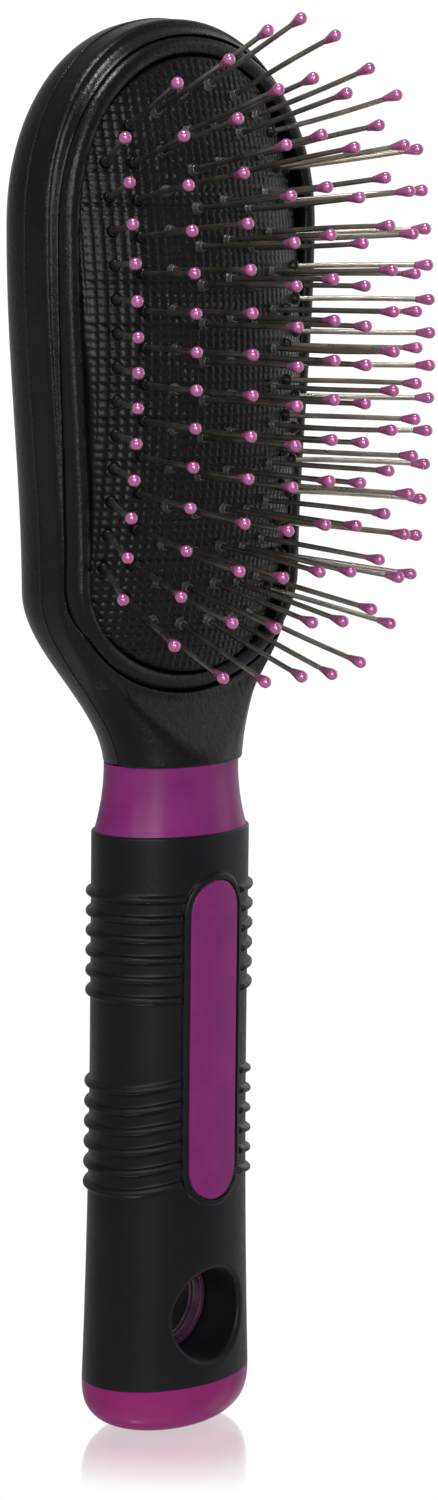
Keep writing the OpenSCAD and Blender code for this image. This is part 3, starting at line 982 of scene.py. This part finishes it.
def make_camera():
    """The photo's view: TURN round from the front, TILT up and ROLL about the line of sight."""
    data = bpy.data.cameras.new("camera")
    data.lens, data.sensor_width = LENS_MM, SENSOR_MM
    ahead = Vector((math.sin(TURN), -math.cos(TURN), 0))
    back = ahead * math.cos(TILT) + Vector((0, 0, math.sin(TILT)))
    right = Vector((math.cos(TURN), math.sin(TURN), 0))
    aim = Vector((0, 0, AIM_HEIGHT)) + right * AIM_ASIDE
    up = back.cross(right)
    turned = right * math.cos(ROLL) + up * math.sin(ROLL)
    raised = up * math.cos(ROLL) - right * math.sin(ROLL)
    camera = bpy.data.objects.new("camera", data)
    bpy.context.scene.collection.objects.link(camera)
    facing = Matrix((turned, raised, back)).transposed().to_4x4()
    camera.matrix_world = Matrix.Translation(aim + back * DISTANCE) @ facing
    bpy.context.scene.camera = camera


def softbox(name, turn, height, distance, size, power):
    """An area light that faces the brush. turn is degrees to the right of the camera, and height
    is above the frame's origin."""
    data = bpy.data.lights.new(name, "AREA")
    data.shape = "RECTANGLE"
    data.size, data.size_y = size
    data.energy = power
    light = bpy.data.objects.new(name, data)
    bpy.context.scene.collection.objects.link(light)
    angle = TURN + math.radians(turn)
    light.location = Vector((math.sin(angle) * distance, -math.cos(angle) * distance, height))
    light.rotation_euler = (light.location - LIGHTS_AIM).to_track_quat("Z", "Y").to_euler()


def make_lights():
    """Key, fill, three small lights for the sparkle, rim strips, a top light and two from behind."""
    softbox("key", 14, 0.35, 0.9, (0.08, 0.75), 2.8)
    softbox("fill", 4, 0.5, 1.2, (0.7, 0.7), 2.3)
    for i, (turn, height) in enumerate([(-2, 0.62), (-12, 0.46), (-22, 0.32)]):
        softbox(f"spark_{i + 1}", turn, height, 0.75, (0.05, 0.12), 0.45)
    softbox("right_strip", 108, 0.25, 0.8, (0.25, 0.9), 1.1)
    softbox("left_strip", -66, 0.25, 0.8, (0.08, 0.9), 0.15)
    softbox("top", -20, 1.0, 0.2, (0.14, 0.14), 4.2)
    softbox("back_left", -125, 0.3, 0.9, (0.5, 0.9), 0.15)
    softbox("back_right", 150, 0.3, 0.9, (0.5, 0.9), 1.0)


def make_world():
    """Plain white to the camera. The brush feels a dim room with a bright backdrop behind it."""
    world = bpy.data.worlds.new("studio")
    bpy.context.scene.world = world
    world.use_nodes = True
    tree = world.node_tree
    shown = tree.nodes["Background"]
    shown.inputs["Color"].default_value = (1, 1, 1, 1)
    shown.inputs["Strength"].default_value = SHOWN_WHITE
    felt = tree.nodes.new("ShaderNodeBackground")
    felt.inputs["Color"].default_value = (0.97, 0.98, 1.0, 1)
    place = tree.nodes.new("ShaderNodeTexCoord")
    behind = tree.nodes.new("ShaderNodeVectorMath")
    behind.operation = "DOT_PRODUCT"
    behind.inputs[1].default_value = (-math.sin(TURN), math.cos(TURN), 0)
    tree.links.new(place.outputs["Generated"], behind.inputs[0])
    strength = spread(
        tree, behind.outputs["Value"], AMBIENT, BACKDROP, BACKDROP_START, BACKDROP_FULL)
    tree.links.new(strength, felt.inputs["Strength"])
    path = tree.nodes.new("ShaderNodeLightPath")
    choice = tree.nodes.new("ShaderNodeMixShader")
    tree.links.new(path.outputs["Is Camera Ray"], choice.inputs[0])
    tree.links.new(felt.outputs[0], choice.inputs[1])
    tree.links.new(shown.outputs[0], choice.inputs[2])
    tree.links.new(choice.outputs[0], tree.nodes["World Output"].inputs["Surface"])
    bpy.context.scene.view_settings.view_transform = "Standard"


def make_floor():
    """A white floor, polished round the butt so that it mirrors the cap and fades out."""
    material = bpy.data.materials.new("floor_white")
    material.use_nodes = True
    tree = material.node_tree
    tree.nodes.clear()
    place = tree.nodes.new("ShaderNodeTexCoord")
    reach = tree.nodes.new("ShaderNodeVectorMath")
    reach.operation = "LENGTH"
    tree.links.new(place.outputs["Object"], reach.inputs[0])
    fade = (PATCH_START, PATCH_END, "SMOOTHSTEP")
    polish = spread(tree, reach.outputs["Value"], MIRROR, 0, *fade)
    mirrored = MIRROR * BACKDROP
    glow = spread(tree, reach.outputs["Value"], FLOOR_WHITE - mirrored, FLOOR_WHITE, *fade)
    mirror = tree.nodes.new("ShaderNodeBsdfGlossy")
    mirror.inputs["Roughness"].default_value = MIRROR_ROUGH
    tree.links.new(polish, mirror.inputs["Color"])
    white = tree.nodes.new("ShaderNodeEmission")
    path = tree.nodes.new("ShaderNodeLightPath")
    share = spread(tree, path.outputs["Is Camera Ray"], FLOOR_FELT, 1, 0, 1)
    seen = tree.nodes.new("ShaderNodeMath")
    seen.operation = "MULTIPLY"
    tree.links.new(glow, seen.inputs[0])
    tree.links.new(share, seen.inputs[1])
    tree.links.new(seen.outputs[0], white.inputs["Strength"])
    both = tree.nodes.new("ShaderNodeAddShader")
    tree.links.new(mirror.outputs[0], both.inputs[0])
    tree.links.new(white.outputs[0], both.inputs[1])
    out = tree.nodes.new("ShaderNodeOutputMaterial")
    tree.links.new(both.outputs[0], out.inputs["Surface"])
    mesh = bpy.data.meshes.new("floor")
    corners = [(x * FLOOR_HALF, y * FLOOR_HALF, 0) for x, y in ((-1, -1), (1, -1), (1, 1), (-1, 1))]
    mesh.from_pydata(corners, [], [(0, 1, 2, 3)])
    mesh.materials.append(material)
    floor = bpy.data.objects.new("floor", mesh)
    floor.location.z = -HOLE_Z * MM
    bpy.context.scene.collection.objects.link(floor)


make_camera()
make_back_shell()
make_front_frame()
make_ring()
make_cushion()
for column in range(1, 10):
    make_pins(column)
make_grip()
make_neck()
make_hole_ring()
make_inlay()
make_cap()
make_floor()
make_lights()
make_world()
